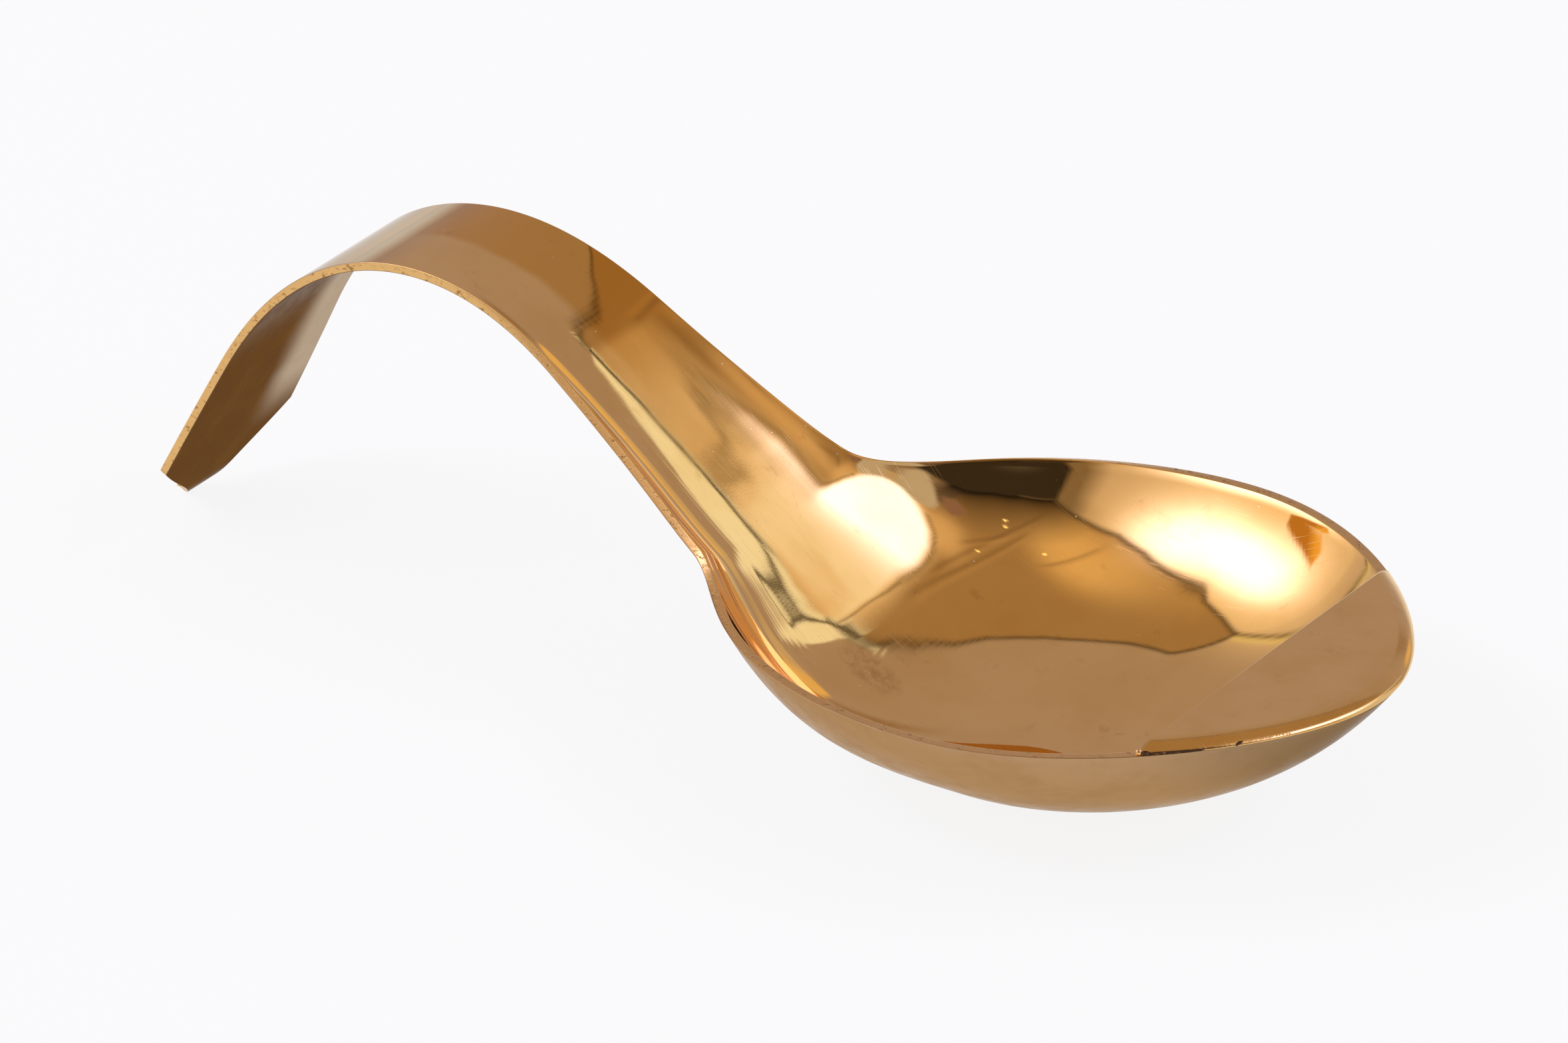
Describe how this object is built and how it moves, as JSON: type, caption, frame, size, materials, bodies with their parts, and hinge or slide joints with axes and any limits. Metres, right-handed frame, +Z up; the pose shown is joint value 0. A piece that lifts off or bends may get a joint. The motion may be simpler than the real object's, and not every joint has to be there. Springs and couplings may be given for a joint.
{
  "type": "flat spoon",
  "caption": "Polished brass spoon with a shallow wide bowl, a brazed flat tip plate, and an arched strip handle whose tapered end stands on the table.",
  "frame": {"origin": "bottom centre of the bounding box, on the table that the bowl's floor and the handle's foot stand on", "axes": "+X towards the bowl's tip, +Y across the spoon to its left side seen from the handle, +Z up"},
  "size_m": [0.2198, 0.0974, 0.0568],
  "materials": {
    "sheet_brass": "polished",
    "plate_brass": "polished"
  },
  "bodies": {
    "root": {"spoon": "sheet_brass", "tip_plate": "plate_brass"}
  },
  "joints": []
}
